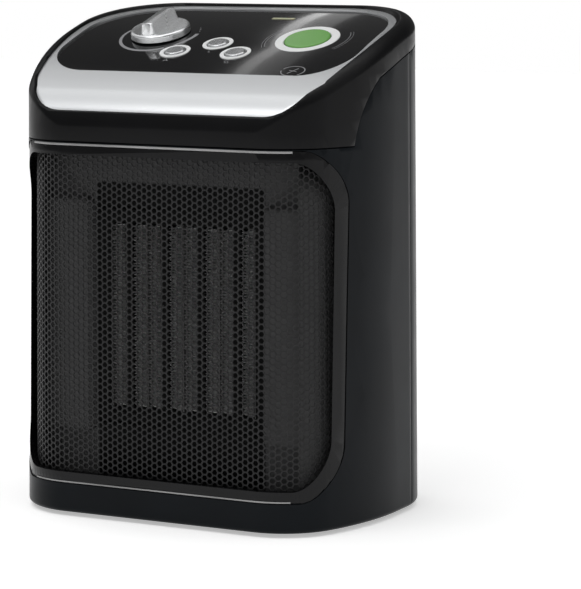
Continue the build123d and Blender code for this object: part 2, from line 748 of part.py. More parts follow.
with BuildPart() as fan_shroud:
    with BuildSketch(Plane.XZ.offset(-SHROUD_Y)):
        with Locations((0, (BASE_TOP + FAN_Z + PLATE_HALF) / 2)):
            Rectangle(2 * PLATE_HALF, FAN_Z + PLATE_HALF - BASE_TOP)
        with Locations((0, FAN_Z)):
            Circle(SHROUD_R, mode=Mode.SUBTRACT)
    extrude(amount=-SHROUD_T)
    with BuildSketch(fan_face(SHROUD_Y)):
        Circle(SHROUD_R + SHROUD_T)
        Circle(SHROUD_R, mode=Mode.SUBTRACT)
    extrude(amount=-SHROUD_LEN - SPIDER_T)
    with BuildSketch(fan_face(SPIDER_Y)):
        for turn in (45, 135, 225, 315):
            with PolarLocations((SHROUD_R + ARM_START_R) / 2, 1, start_angle=turn):
                Rectangle(SHROUD_R + 2 - ARM_START_R, ARM_W)
        Circle(SPIDER_HUB_R)
        Circle(BEARING_R + 1, mode=Mode.SUBTRACT)
    extrude(amount=-SPIDER_T)
    add(screw_rods(SHROUD_Y + SHROUD_T, BOSS_END_Y, BOSS_R - 1))
    add(screw_rods(BOSS_END_Y - SCREW_GRIP, BOSS_END_Y, SCREW_R), mode=Mode.SUBTRACT)
    with BuildSketch(Plane.XY.offset(BASE_TOP)):
        with Locations((0, SHROUD_Y + LEDGE_DEPTH / 2)):
            Rectangle(2 * PLATE_HALF, LEDGE_DEPTH)
        with Locations((-BASE_SCREW_X, SHROUD_Y + 13), (BASE_SCREW_X, SHROUD_Y + 13)):
            Circle(PILOT_R, mode=Mode.SUBTRACT)
    extrude(amount=LEDGE_T)
keep("fan_shroud", fan_shroud)

with BuildPart() as fan_impeller:
    with BuildSketch(fan_face(FAN_Y + FAN_DEPTH / 2)):
        Circle(HUB_R)
    extrude(amount=FAN_DEPTH + 2)
    fillet(fan_impeller.faces().sort_by(Axis.Y)[0].edges(), 3)
    for i in range(BLADES):
        turn = radians(360 / BLADES * i)
        out = Vector(cos(turn), 0, sin(turn))
        middle = Vector(0, FAN_Y, FAN_Z)
        with BuildSketch(Plane(middle + out * (HUB_R - 3), x_dir=(0, 1, 0), z_dir=out)):
            Rectangle(21, 2.4, rotation=52)
        with BuildSketch(Plane(middle + out * FAN_R, x_dir=(0, 1, 0), z_dir=out)):
            Rectangle(30, 1.4, rotation=62)
        loft()
    with BuildSketch(fan_face(FAN_Y + FAN_DEPTH)):
        Circle(MOTOR_SHAFT_R)
    extrude(amount=FAN_DEPTH + 8, mode=Mode.SUBTRACT)
keep("fan_impeller", fan_impeller)

with BuildPart() as motor_shaft:
    with BuildSketch(fan_face(REAR_BRACKET_Y + BRACKET_T + 2)):
        Circle(MOTOR_SHAFT_R)
    extrude(amount=REAR_BRACKET_Y + BRACKET_T + 2 - FAN_Y + 7)
keep("motor_shaft", motor_shaft)

with BuildPart() as motor_rotor:
    with BuildSketch(fan_face(STATOR_Y + STATOR_T + 1)):
        Circle(ROTOR_R)
        Circle(MOTOR_SHAFT_R, mode=Mode.SUBTRACT)
    extrude(amount=STATOR_T + 2)
keep("motor_rotor", motor_rotor)

STATOR_W = 58.0
STATOR_TOP = 18.0
STATOR_LOW = -44.0
LEG_H = 10.0
WINDOW_H = 16.0

with BuildPart() as motor_stator:
    with BuildSketch(fan_face(STATOR_Y + STATOR_T)):
        with Locations((0, (STATOR_TOP + STATOR_LOW) / 2)):
            Rectangle(STATOR_W, STATOR_TOP - STATOR_LOW)
        Circle(ROTOR_R + ROTOR_GAP, mode=Mode.SUBTRACT)
        with Locations((0, STATOR_LOW + LEG_H + WINDOW_H / 2)):
            Rectangle(36, WINDOW_H, mode=Mode.SUBTRACT)
    extrude(amount=STATOR_T)
keep("motor_stator", motor_stator)

with BuildPart() as motor_coil:
    with BuildSketch(Plane.YZ.offset(-17)):
        with Locations((STATOR_Y + STATOR_T / 2, FAN_Z + STATOR_LOW + LEG_H / 2)):
            RectangleRounded(STATOR_T + 14, LEG_H + 14, 4)
            Rectangle(STATOR_T, LEG_H, mode=Mode.SUBTRACT)
    extrude(amount=34)
keep("motor_coil", motor_coil)

for name, plate_y, post_y in [
    ("motor_front_bracket", SPIDER_Y + 3, SPIDER_Y + 3 + BRACKET_T),
    ("motor_rear_bracket", REAR_BRACKET_Y, REAR_BRACKET_Y - POST_LEN),
]:
    with BuildPart() as bracket:
        with BuildSketch(fan_face(plate_y + BRACKET_T)):
            RectangleRounded(STATOR_W, 16, 4)
            Circle(BEARING_R, mode=Mode.SUBTRACT)
        extrude(amount=BRACKET_T)
        with BuildSketch(fan_face(post_y + POST_LEN)):
            with Locations((-22, 0), (22, 0)):
                Circle(3)
        extrude(amount=POST_LEN)
    keep(name, bracket)

with BuildPart() as shaft_bearings:
    for bracket_y in (SPIDER_Y + 3, REAR_BRACKET_Y):
        with BuildSketch(fan_face(bracket_y + BRACKET_T)):
            Circle(BEARING_R)
            Circle(MOTOR_SHAFT_R + RUN_GAP, mode=Mode.SUBTRACT)
        extrude(amount=BRACKET_T)
keep("shaft_bearings", shaft_bearings)

# ---- Back and base ----

with BuildPart() as inlet_grille:
    with BuildSketch(REAR_WALL.offset(-WALL - 2)):
        with Locations((0, INLET_LOW + INLET_H / 2 - FOOT_H)):
            RectangleRounded(INLET_W + 6, INLET_H + 6, 8)
    extrude(amount=2)
    with BuildSketch(REAR_WALL.offset(-WALL)):
        with Locations((0, INLET_LOW + INLET_H / 2 - FOOT_H)):
            RectangleRounded(INLET_W - 2 * FIT_GAP, INLET_H - 2 * FIT_GAP, 8)
    extrude(amount=WALL - 0.4)
    with BuildSketch(REAR_WALL.offset(-WALL - 4)):
        with Locations((0, INLET_LOW + INLET_H / 2 - FOOT_H)):
            with GridLocations(INLET_W / 3 - 2, (INLET_H - 10) / SLATS, 3, SLATS):
                SlotOverall(INLET_W / 3 - 5, SLOT_H)
    extrude(amount=10, mode=Mode.SUBTRACT)
keep("inlet_grille", inlet_grille)

with BuildPart() as carry_grip:
    with BuildSketch(REAR_WALL.offset(-GRIP_DEPTH)):
        with Locations((0, GRIP_Z - FOOT_H)):
            RectangleRounded(GRIP_W, GRIP_H, 8)
    extrude(amount=GRIP_DEPTH - 0.4)
    with BuildSketch(REAR_WALL.offset(-WALL - 2)):
        with Locations((0, GRIP_Z - FOOT_H)):
            RectangleRounded(GRIP_W + 8, GRIP_H + 8, 8)
    extrude(amount=2)
    with BuildSketch(REAR_WALL.offset(-GRIP_DEPTH + GRIP_WALL)):
        with Locations((0, GRIP_Z - FOOT_H)):
            RectangleRounded(GRIP_W - 2 * GRIP_WALL, GRIP_H - 2 * GRIP_WALL, 6)
    extrude(amount=GRIP_DEPTH, mode=Mode.SUBTRACT)
keep("carry_grip", carry_grip)

with BuildPart() as cord_gland:
    with BuildSketch(REAR_WALL.offset(-WALL)):
        with Locations((-CORD_X, CORD_Z - FOOT_H)):
            Circle(GLAND_R)
    extrude(amount=WALL - 0.2)
    with BuildSketch(REAR_WALL.offset(-WALL - 2)):
        with Locations((-CORD_X, CORD_Z - FOOT_H)):
            Circle(GLAND_R + 2.2)
    extrude(amount=2)
    with BuildSketch(REAR_WALL.offset(-WALL - 10)):
        with Locations((-CORD_X, CORD_Z - FOOT_H)):
            Circle(CORD_R + 2)
    extrude(amount=8)
    with BuildSketch(REAR_WALL.offset(-WALL - 11)):
        with Locations((-CORD_X, CORD_Z - FOOT_H)):
            Circle(CORD_R)
    extrude(amount=WALL + 14, mode=Mode.SUBTRACT)
keep("cord_gland", cord_gland)

with BuildPart() as housing_screws:
    add(screw_rods(HEAD_Y, HEAD_Y + 2.0, SCREW_HEAD_R))
    fillet(housing_screws.faces().filter_by(Axis.Y).group_by(Axis.Y)[-1].edges(), 0.8)
    add(screw_rods(BOSS_END_Y - SCREW_GRIP, HEAD_Y, SCREW_R))
keep("housing_screws", housing_screws)

with BuildPart() as base_screws:
    with BuildSketch(Plane.XY.offset(FOOT_H - 1.6)):
        with Locations((-48, SHROUD_Y + 13), (48, SHROUD_Y + 13)):
            Circle(3.2)
    extrude(amount=1.6)
    with BuildSketch(Plane.XY.offset(FOOT_H)):
        with Locations((-48, SHROUD_Y + 13), (48, SHROUD_Y + 13)):
            Circle(1.2)
    extrude(amount=BASE_T + 4)
keep("base_screws", base_screws)

TIP_XY = (28.5 - WIDTH / 2, DEPTH / 2 - 40.5)
TIP_PIVOT_Z = BASE_TOP + 22.0
TIP_PIN_R = 1.5

with BuildPart() as tip_switch_body:
    with BuildSketch(Plane.XY.offset(BASE_TOP)):
        with Locations(TIP_XY):
            Rectangle(20, 26)
    extrude(amount=2)
    with BuildSketch(Plane.XY.offset(BASE_TOP + 2)):
        with Locations((TIP_XY[0] - 9, TIP_XY[1]), (TIP_XY[0] + 9, TIP_XY[1])):
            Rectangle(2, 16)
    extrude(amount=24)
    with BuildSketch(Plane.YZ.offset(TIP_XY[0] - 8)):
        with Locations((TIP_XY[1], TIP_PIVOT_Z)):
            Circle(TIP_PIN_R)
    extrude(amount=16)
keep("tip_switch_body", tip_switch_body)

with BuildPart() as tip_switch_pendulum:
    with BuildSketch(Plane.YZ.offset(TIP_XY[0] - 4)):
        with Locations((TIP_XY[1], TIP_PIVOT_Z)):
            Circle(3.6)
        with Locations((TIP_XY[1], TIP_PIVOT_Z - 5)):
            Rectangle(4, 10)
        with Locations((TIP_XY[1], TIP_PIVOT_Z - 12)):
            Circle(5)
        with Locations((TIP_XY[1], TIP_PIVOT_Z)):
            Circle(TIP_PIN_R + RUN_GAP, mode=Mode.SUBTRACT)
    extrude(amount=8)
keep("tip_switch_pendulum", tip_switch_pendulum)

with BuildPart() as terminal_block:
    with BuildSketch(Plane.XY.offset(BASE_TOP)):
        with Locations((CORD_X - 4, DEPTH / 2 - 28)):
            Rectangle(30, 14)
    extrude(amount=12)
    with BuildSketch(Plane.XY.offset(BASE_TOP + 12)):
        with Locations((CORD_X - 4, DEPTH / 2 - 28)):
            with GridLocations(9, 7, 3, 2):
                Circle(2.2)
    extrude(amount=-6, mode=Mode.SUBTRACT)
keep("terminal_block", terminal_block)

os.makedirs("parts", exist_ok=True)
for name, piece in parts.items():
    export_step(piece, f"parts/{name}.step")
    print(name, len(piece.solids()), round(piece.volume), piece.is_valid)
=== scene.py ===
from bisect import bisect_left
from math import atan2, cos, pi, radians, sin, tan

import bmesh
import bpy
from bpy.props import FloatProperty, FloatVectorProperty, IntProperty, PointerProperty
from mathutils import Matrix, Vector
from mathutils.bvhtree import BVHTree


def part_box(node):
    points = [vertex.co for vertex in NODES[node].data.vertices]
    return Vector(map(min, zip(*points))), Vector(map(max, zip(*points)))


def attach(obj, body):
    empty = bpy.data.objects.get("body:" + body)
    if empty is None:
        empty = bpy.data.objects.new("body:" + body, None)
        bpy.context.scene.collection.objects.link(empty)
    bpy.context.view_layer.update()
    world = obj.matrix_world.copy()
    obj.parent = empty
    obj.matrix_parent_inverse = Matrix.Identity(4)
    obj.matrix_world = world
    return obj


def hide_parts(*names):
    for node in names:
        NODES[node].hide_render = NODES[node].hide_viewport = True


bl_info = {
    "name": "Ceramic Fan Heater",
    "version": (1, 0, 0),
    "blender": (4, 5, 0),
    "location": "3D View > Sidebar > Heater",
    "description": "Builds the pieces, finishes and studio of a ceramic fan heater",
    "category": "Object",
}

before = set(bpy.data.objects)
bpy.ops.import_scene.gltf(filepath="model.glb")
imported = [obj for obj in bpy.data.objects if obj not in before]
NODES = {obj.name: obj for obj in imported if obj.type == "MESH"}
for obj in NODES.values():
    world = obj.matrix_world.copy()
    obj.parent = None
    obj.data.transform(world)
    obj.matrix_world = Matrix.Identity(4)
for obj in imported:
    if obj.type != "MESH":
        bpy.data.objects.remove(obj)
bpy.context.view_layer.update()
CROWN = (0.11793, -0.09644)  # Y and Z of the long arc's centre
WALL_LEAN = tan(radians(0.64))
WELD = 1e-6
HEX_TURN = radians(30)


# ---------------------------------------------------------------- sizes and colours


def colour_prop(name, description, default):
    return FloatVectorProperty(
        name=name, description=description, default=default, subtype="COLOR", min=0, max=1, size=3
    )


def length_prop(name, description, default):
    return FloatProperty(
        name=name, description=description, default=default, min=0, precision=5, unit="LENGTH"
    )


class HeaterColours(bpy.types.PropertyGroup):
    casing: colour_prop("Casing", "Black of the hood and the front", (0.0045, 0.0045, 0.005))
    rear: colour_prop("Body", "Blue-black of the body behind the hood", (0.0032, 0.0046, 0.0062))
    grille: colour_prop("Grille", "Paint on the perforated sheet", (0.021, 0.021, 0.0215))
    silver: colour_prop("Silver", "Satin silver of the trim", (0.56, 0.57, 0.58))
    green: colour_prop("Green", "Dyed plastic of the large button", (0.14, 0.38, 0.075))
    white: colour_prop("White", "Plastic of the rings", (0.86, 0.87, 0.87))
    print_grey: colour_prop("Print", "Ink of the panel's marks", (0.26, 0.26, 0.27))


class GrilleSizes(bpy.types.PropertyGroup):
    pitch: length_prop("Pitch", "Height from one hole to the next in a column", 0.00335)
    web: length_prop("Web", "Half of the metal left between two holes", 0.00037)
    thickness: length_prop("Thickness", "Sheet thickness", 0.0006)
    edge: length_prop("Edge", "Sheet kept back from the hidden rim", 0.0016)
    baffle: length_prop("Baffle", "Width of the blind strip behind each end of the sheet", 0.040)
    baffle_depth: length_prop("Baffle depth", "Blind strip behind the sheet's face", 0.0022)


class FinSizes(bpy.types.PropertyGroup):
    folds: IntProperty(name="Folds", description="Folds in one strip", default=64, min=4, max=200)
    thickness: length_prop("Thickness", "Strip thickness", 0.00025)


# Sizes of the two grey beads that paint highlight lines along the bezel's top and bottom edges.
class BezelSizes(bpy.types.PropertyGroup):
    half: length_prop("Half length", "From the middle to a bead's end", 0.074)
    top_height: length_prop("Top height", "Height of the upper bead", 0.1927)
    top_radius: length_prop("Top radius", "Radius of the upper bead", 0.0006)
    low_height: length_prop("Low height", "Height of the lower bead", 0.0181)
    low_radius: length_prop("Low radius", "Radius of the lower bead", 0.0004)


class MarkSizes(bpy.types.PropertyGroup):
    lift: length_prop("Lift", "Ink above the panel", 0.00006)
    dial_radius: length_prop("Dial radius", "Radius of the arc round the knob", 0.0212)
    ring_radius: length_prop("Ring radius", "Radius of the faint arcs by the large button", 0.0222)
    symbol_width: length_prop("Symbol width", "Width of the symbol at the panel's right", 0.0128)


class StudioSizes(bpy.types.PropertyGroup):
    lens: FloatProperty(
        name="Lens", description="Camera's focal length in millimetres", default=165.1, min=10, max=500
    )
    floor: length_prop("Floor", "Half the floor's width", 4.0)


# ---------------------------------------------------------------- finishes


def new_material(name):
    material = bpy.data.materials.new(name)
    material.use_nodes = True
    tree = material.node_tree
    return material, tree, tree.nodes["Principled BSDF"]


def coordinates(tree, scale=(1, 1, 1), location=(0, 0, 0)):
    texture = tree.nodes.new("ShaderNodeTexCoord")
    mapping = tree.nodes.new("ShaderNodeMapping")
    mapping.inputs["Scale"].default_value = scale
    mapping.inputs["Location"].default_value = location
    tree.links.new(texture.outputs["Object"], mapping.inputs["Vector"])
    return mapping.outputs["Vector"]


def noise(tree, vector, scale, detail=3.0, rough=0.5):
    node = tree.nodes.new("ShaderNodeTexNoise")
    node.inputs["Scale"].default_value = scale
    node.inputs["Detail"].default_value = detail
    node.inputs["Roughness"].default_value = rough
    tree.links.new(vector, node.inputs["Vector"])
    return node.outputs["Fac"]


def ramp(tree, factor, low, high, start=0.3, end=0.7):
    node = tree.nodes.new("ShaderNodeValToRGB")
    node.color_ramp.elements[0].position = start
    node.color_ramp.elements[0].color = (*low, 1)
    node.color_ramp.elements[1].position = end
    node.color_ramp.elements[1].color = (*high, 1)
    tree.links.new(factor, node.inputs["Fac"])
    return node.outputs["Color"]


def spread(tree, factor, low, high):
    node = tree.nodes.new("ShaderNodeMapRange")
    node.inputs["To Min"].default_value = low
    node.inputs["To Max"].default_value = high
    tree.links.new(factor, node.inputs["Value"])
    return node.outputs["Result"]


def bump(tree, height, strength, distance):
    node = tree.nodes.new("ShaderNodeBump")
    node.inputs["Strength"].default_value = strength
    node.inputs["Distance"].default_value = distance
    tree.links.new(height, node.inputs["Height"])
    return node.outputs["Normal"]


def shade(colour, factor):
    return tuple(min(1.0, c * factor) for c in colour)


def moulded(
    name, colour, rough, grain=1400.0, depth=0.04, specular=0.5, vary=0.25, coat=0.0, coat_rough=0.05
):
    """Moulded plastic: fine spark grain, slow flow marks in colour and sheen."""
    material, tree, shader = new_material(name)
    vector = coordinates(tree)
    flow = noise(tree, vector, 22.0, 4.0)
    fine = noise(tree, vector, grain, 2.0, 0.6)
    tint = ramp(tree, flow, shade(colour, 1 - vary), shade(colour, 1 + vary))
    tree.links.new(tint, shader.inputs["Base Color"])
    sheen = spread(tree, noise(tree, vector, 60.0, 3.0), rough * 0.85, rough * 1.15)
    tree.links.new(sheen, shader.inputs["Roughness"])
    tree.links.new(bump(tree, fine, depth, 0.0001), shader.inputs["Normal"])
    shader.inputs["Specular IOR Level"].default_value = specular
    shader.inputs["Coat Weight"].default_value = coat
    shader.inputs["Coat Roughness"].default_value = coat_rough
    return material


def brushed(name, colour, rough, stretch=(1, 1, 40), grain=260.0, depth=0.05, metallic=1.0, vary=0.06):
    """Metal or metal paint with a fine grain drawn out along one direction."""
    material, tree, shader = new_material(name)
    streak = noise(tree, coordinates(tree, stretch), grain, 3.0, 0.6)
    cloud = noise(tree, coordinates(tree), 18.0, 2.0)
    tint = ramp(tree, cloud, shade(colour, 1 - vary), shade(colour, 1 + vary))
    tree.links.new(tint, shader.inputs["Base Color"])
    tree.links.new(spread(tree, streak, rough * 0.8, rough * 1.2), shader.inputs["Roughness"])
    tree.links.new(bump(tree, streak, depth, 0.00005), shader.inputs["Normal"])
    shader.inputs["Metallic"].default_value = metallic
    return material


def turned(name, colour, rough, centre, grain=900.0, depth=0.04):
    """Metal turned about an upright line through centre: rings round it."""
    material, tree, shader = new_material(name)
    vector = coordinates(tree, location=tuple(-c for c in centre))
    rings = tree.nodes.new("ShaderNodeTexWave")
    rings.wave_type = "RINGS"
    rings.rings_direction = "Z"
    rings.inputs["Scale"].default_value = grain
    rings.inputs["Distortion"].default_value = 0.6
    tree.links.new(vector, rings.inputs["Vector"])
    cloud = noise(tree, vector, 60.0, 2.0)
    tree.links.new(ramp(tree, cloud, shade(colour, 0.94), shade(colour, 1.05)), shader.inputs["Base Color"])
    tree.links.new(spread(tree, rings.outputs["Fac"], rough * 0.85, rough * 1.15), shader.inputs["Roughness"])
    tree.links.new(bump(tree, rings.outputs["Fac"], depth, 0.00003), shader.inputs["Normal"])
    shader.inputs["Metallic"].default_value = 1.0
    return material


def banded(name, light, dark, direction, scale, rough, metallic, depth=0.4):
    """Stacked sheets or wound wire: even bands along one direction."""
    material, tree, shader = new_material(name)
    bands = tree.nodes.new("ShaderNodeTexWave")
    bands.bands_direction = direction
    bands.inputs["Scale"].default_value = scale
    bands.inputs["Distortion"].default_value = 0.15
    bands.inputs["Detail"].default_value = 1.0
    tree.links.new(coordinates(tree), bands.inputs["Vector"])
    tree.links.new(ramp(tree, bands.outputs["Fac"], dark, light, 0.1, 0.6), shader.inputs["Base Color"])
    tree.links.new(spread(tree, bands.outputs["Fac"], rough * 1.3, rough), shader.inputs["Roughness"])
    tree.links.new(bump(tree, bands.outputs["Fac"], depth, 0.0002), shader.inputs["Normal"])
    shader.inputs["Metallic"].default_value = metallic
    return material


def resist_board(name):
    """Circuit board: green resist over straight copper runs."""
    material, tree, shader = new_material(name)
    runs = tree.nodes.new("ShaderNodeTexBrick")
    runs.inputs["Scale"].default_value = 160.0
    runs.inputs["Mortar Size"].default_value = 0.08
    runs.inputs["Color1"].default_value = (0.01, 0.11, 0.035, 1)
    runs.inputs["Color2"].default_value = (0.012, 0.14, 0.045, 1)
    runs.inputs["Mortar"].default_value = (0.03, 0.24, 0.08, 1)
    tree.links.new(coordinates(tree), runs.inputs["Vector"])
    tree.links.new(runs.outputs["Color"], shader.inputs["Base Color"])
    tree.links.new(spread(tree, runs.outputs["Fac"], 0.32, 0.22), shader.inputs["Roughness"])
    tree.links.new(bump(tree, runs.outputs["Fac"], 0.3, 0.00005), shader.inputs["Normal"])
    return material


def duct(name, dark, light):
    """Duct plastic: black in the air path, painted paler on the two side pads and the top ledge as painted
    light, where light falls on those walls.
    """
    material, tree, shader = new_material(name)
    vector = coordinates(tree)
    parts = tree.nodes.new("ShaderNodeSeparateXYZ")
    tree.links.new(vector, parts.inputs["Vector"])
    aside = tree.nodes.new("ShaderNodeMath")
    aside.operation = "ABSOLUTE"
    tree.links.new(parts.outputs["X"], aside.inputs[0])
    # Side pads and top ledge: painted light, paler where light falls on those walls of the duct.
    pads = tree.nodes.new("ShaderNodeMapRange")
    pads.inputs["From Min"].default_value = 0.0485
    pads.inputs["From Max"].default_value = 0.0495
    tree.links.new(aside.outputs["Value"], pads.inputs["Value"])
    ledge = tree.nodes.new("ShaderNodeMapRange")
    ledge.inputs["From Min"].default_value = 0.1715
    ledge.inputs["From Max"].default_value = 0.1725
    tree.links.new(parts.outputs["Z"], ledge.inputs["Value"])
    # Painted light mask: the side pads and the top ledge together.
    painted_light_mask = tree.nodes.new("ShaderNodeMath")
    painted_light_mask.operation = "MAXIMUM"
    tree.links.new(pads.outputs["Result"], painted_light_mask.inputs[0])
    tree.links.new(ledge.outputs["Result"], painted_light_mask.inputs[1])
    tree.links.new(ramp(tree, painted_light_mask.outputs["Value"], dark, light, 0.0, 1.0), shader.inputs["Base Color"])
    tree.links.new(spread(tree, noise(tree, vector, 60.0), 0.5, 0.65), shader.inputs["Roughness"])
    tree.links.new(bump(tree, noise(tree, vector, 900.0), 0.12, 0.0001), shader.inputs["Normal"])
    shader.inputs["Specular IOR Level"].default_value = 0.15
    return material


def lens(name, colour):
    """Frosted lamp window with a fine prism grain."""
    material, tree, shader = new_material(name)
    vector = coordinates(tree)
    ribs = tree.nodes.new("ShaderNodeTexWave")
    ribs.bands_direction = "X"
    ribs.inputs["Scale"].default_value = 420.0
    tree.links.new(vector, ribs.inputs["Vector"])
    tree.links.new(ramp(tree, ribs.outputs["Fac"], shade(colour, 0.9), colour), shader.inputs["Base Color"])
    tree.links.new(spread(tree, noise(tree, vector, 300.0), 0.2, 0.34), shader.inputs["Roughness"])
    tree.links.new(bump(tree, ribs.outputs["Fac"], 0.1, 0.00005), shader.inputs["Normal"])
    shader.inputs["Subsurface Weight"].default_value = 0.15
    shader.inputs["Subsurface Scale"].default_value = 0.001
    return material


FINISHES = {}


def make_finishes(c):
    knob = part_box("thermostat_knob")
    knob_middle = (knob[0] + knob[1]) / 2
    FINISHES.update(
        casing_black=moulded("casing_black", tuple(c.casing), 0.3, 1800.0, 0.04, 0.12),
        rear_black=moulded("rear_black", tuple(c.rear), 0.32, 1800.0, 0.04, 0.1),
        base_black=moulded("base_black", tuple(c.casing), 0.5, 1200.0, 0.12, 0.15),
        rubber=moulded("rubber", (0.012, 0.012, 0.012), 0.8, 900.0, 0.3, 0.25),
        bezel_black=moulded("bezel_black", tuple(c.casing), 0.22, 2200.0, 0.02, 0.2),
        # The light grey below is a painted highlight for the beads along the bezel's top and bottom edges.
        bezel_edge=moulded("bezel_edge", (0.3, 0.3, 0.3), 0.3, 2200.0, 0.02, 0.5),
        grille_black=moulded("grille_black", tuple(c.grille), 0.42, 1600.0, 0.06, 0.2, 0.12),
        satin_silver=brushed("satin_silver", tuple(c.silver), 0.36, (2, 30, 30), 300.0, 0.02, 0.85, 0.02),
        panel_gloss=moulded("panel_gloss", (0.005, 0.005, 0.0055), 0.09, 700.0, 0.003, 0.3, 0.1, 0.3, 0.03),
        ring_white=moulded("ring_white", tuple(c.white), 0.3, 1500.0, 0.03, 0.5, 0.02),
        button_silver=turned("button_silver", (0.62, 0.63, 0.64), 0.26, knob_middle, 500.0, 0.02),
        eco_green=moulded("eco_green", tuple(c.green), 0.26, 900.0, 0.05, 0.5, 0.08, 0.3, 0.1),
        lamp_lens=lens("lamp_lens", (0.55, 0.55, 0.36)),
        knob_silver=turned("knob_silver", (0.8, 0.81, 0.82), 0.3, knob_middle, 700.0, 0.05),
        steel=brushed("steel", (0.45, 0.46, 0.47), 0.28, (1, 1, 1), 500.0, 0.1),
        board_green=resist_board("board_green"),
        # The paler second colour of duct_black is painted light on the duct's side pads and top ledge.
        duct_black=duct("duct_black", (0.0012, 0.0012, 0.0012), (0.09, 0.09, 0.091)),
        ceramic=moulded("ceramic", (0.005, 0.005, 0.005), 0.6, 700.0, 0.25, 0.1),
        fin_alu=brushed("fin_alu", (0.75, 0.75, 0.75), 0.42, (1, 1, 8), 400.0, 0.1, 0.35),
        divider_grey=brushed("divider_grey", (0.09, 0.09, 0.09), 0.5, (1, 1, 8), 400.0, 0.1, 0.3),
        screw_dark=brushed("screw_dark", (0.07, 0.07, 0.075), 0.38, (1, 1, 1), 500.0, 0.1),
        brass=brushed("brass", (0.6, 0.42, 0.16), 0.3, (1, 1, 6), 400.0, 0.06),
        impeller_grey=moulded("impeller_grey", (0.06, 0.06, 0.062), 0.45, 1000.0, 0.08, 0.4),
        lamination=banded("lamination", (0.3, 0.3, 0.31), (0.06, 0.06, 0.06), "Y", 320.0, 0.4, 0.9),
        copper=banded("copper", (0.55, 0.2, 0.07), (0.12, 0.035, 0.012), "Z", 300.0, 0.28, 0.8),
        terminal_cream=moulded("terminal_cream", (0.62, 0.56, 0.42), 0.45, 900.0, 0.08, 0.4, 0.05),
        print_grey=moulded("print_grey", tuple(c.print_grey), 0.5, 2000.0, 0.02, 0.3, 0.04),
    )


# ---------------------------------------------------------------- mesh helpers


def finish_object(name, mesh, body, material):
    for polygon in mesh.polygons:
        polygon.use_smooth = True
    mesh.materials.clear()
    mesh.materials.append(FINISHES[material])
    obj = bpy.data.objects.new(name, mesh)
    bpy.context.scene.collection.objects.link(obj)
    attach(obj, body)
    return obj


def close_bmesh(bm, name, outward=False):
    if outward:
        bmesh.ops.recalc_face_normals(bm, faces=bm.faces)
    mesh = bpy.data.meshes.new(name)
    bm.to_mesh(mesh)
    bm.free()
    return mesh


def merged_copy(node, angle=32.0):
    """The node's own shape as one welded mesh, with creases only where its faces really meet at an angle."""
    bm = bmesh.new()
    bm.from_mesh(NODES[node].data)
    bmesh.ops.remove_doubles(bm, verts=bm.verts, dist=WELD)
    mesh = close_bmesh(bm, node + "_skin")
    for polygon in mesh.polygons:
        polygon.use_smooth = True
    mesh.set_sharp_from_angle(angle=radians(angle))
    return mesh


def skin(node, body, material, angle=32.0, chamfer=0.0):
    """A shown copy of a node, with creases softened by a small chamfer where asked."""
    mesh = merged_copy(node, angle)
    obj = finish_object(node + "_skin", mesh, body, material)
    if chamfer:
        modifier = obj.modifiers.new("Chamfer", "BEVEL")
        modifier.width = chamfer
        modifier.segments = 2
        modifier.limit_method = "ANGLE"
        modifier.angle_limit = radians(angle)
        modifier.use_clamp_overlap = True
        modifier.harden_normals = True
    even = obj.modifiers.new("Even shading", "WEIGHTED_NORMAL")
    even.mode = "FACE_AREA"
    even.weight = 100
    even.keep_sharp = True
    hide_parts(node)
    return obj


def crown_shading(obj, angle=2.5):
    """True normals of the deck's long arc on every face that lies on it."""
    mesh = obj.data
    obj.modifiers.remove(obj.modifiers["Even shading"])
    normals = [Vector(corner.vector) for corner in mesh.corner_normals]
    for polygon in mesh.polygons:
        for loop in polygon.loop_indices:
            spot = mesh.vertices[mesh.loops[loop].vertex_index].co
            arc = Vector((0, spot.y - CROWN[0], spot.z - CROWN[1])).normalized()
            if arc.angle(polygon.normal) < radians(angle):
                normals[loop] = arc
    mesh.normals_split_custom_set(normals)


def surface(node):
    mesh = NODES[node].data
    return BVHTree.FromPolygons([v.co for v in mesh.vertices], [p.vertices for p in mesh.polygons])


def drape(bm, tree, lift):
    """Lays a flat shape, drawn seen from above, on the surface below it."""
    for vertex in bm.verts:
        x, y = vertex.co.x, vertex.co.y
        ground = tree.ray_cast(Vector((x, y, 1.0)), Vector((0, 0, -1)))[0]
        if ground is None:
            raise RuntimeError(f"nothing under ({x:.4f}, {y:.4f})")
        vertex.co.z += ground.z + lift


def arc_strip(bm, centre, radius, width, start, sweep, steps, taper=0.0):
    """Flat arc round centre. Width shrinks to (1 - taper) of itself at the start."""
    ends = [bm.verts.new((radius - width / 2, 0, 0)), bm.verts.new((radius + width / 2, 0, 0))]
    edge = bm.edges.new(ends)
    turn = Matrix.Rotation(start, 4, "Z")
    bmesh.ops.transform(bm, matrix=turn, verts=ends)
    before = set(bm.verts) - set(ends)
    bmesh.ops.spin(
        bm, geom=[edge, *ends], cent=(0, 0, 0), axis=(0, 0, 1), angle=sweep, steps=steps, use_merge=False
    )
    made = [v for v in bm.verts if v not in before]
    for vertex in made:
        flat = Vector((vertex.co.x, vertex.co.y))
        share = ((atan2(flat.y, flat.x) - start) * (1 if sweep > 0 else -1)) % (2 * pi)
        share = min(1.0, share / abs(sweep)) if share < 2 * pi - 1e-3 else 0.0
        scale = 1 - taper * (1 - share)
        flat = flat.normalized() * (radius + (flat.length - radius) * scale)
        vertex.co.x, vertex.co.y = flat
    bmesh.ops.translate(bm, verts=made, vec=(centre[0], centre[1], 0))
    return made


def dot(bm, centre, radius, segments=16):
    made = bmesh.ops.create_circle(bm, cap_ends=True, segments=segments, radius=radius)["verts"]
    bmesh.ops.translate(bm, verts=made, vec=(centre[0], centre[1], 0))
    return made


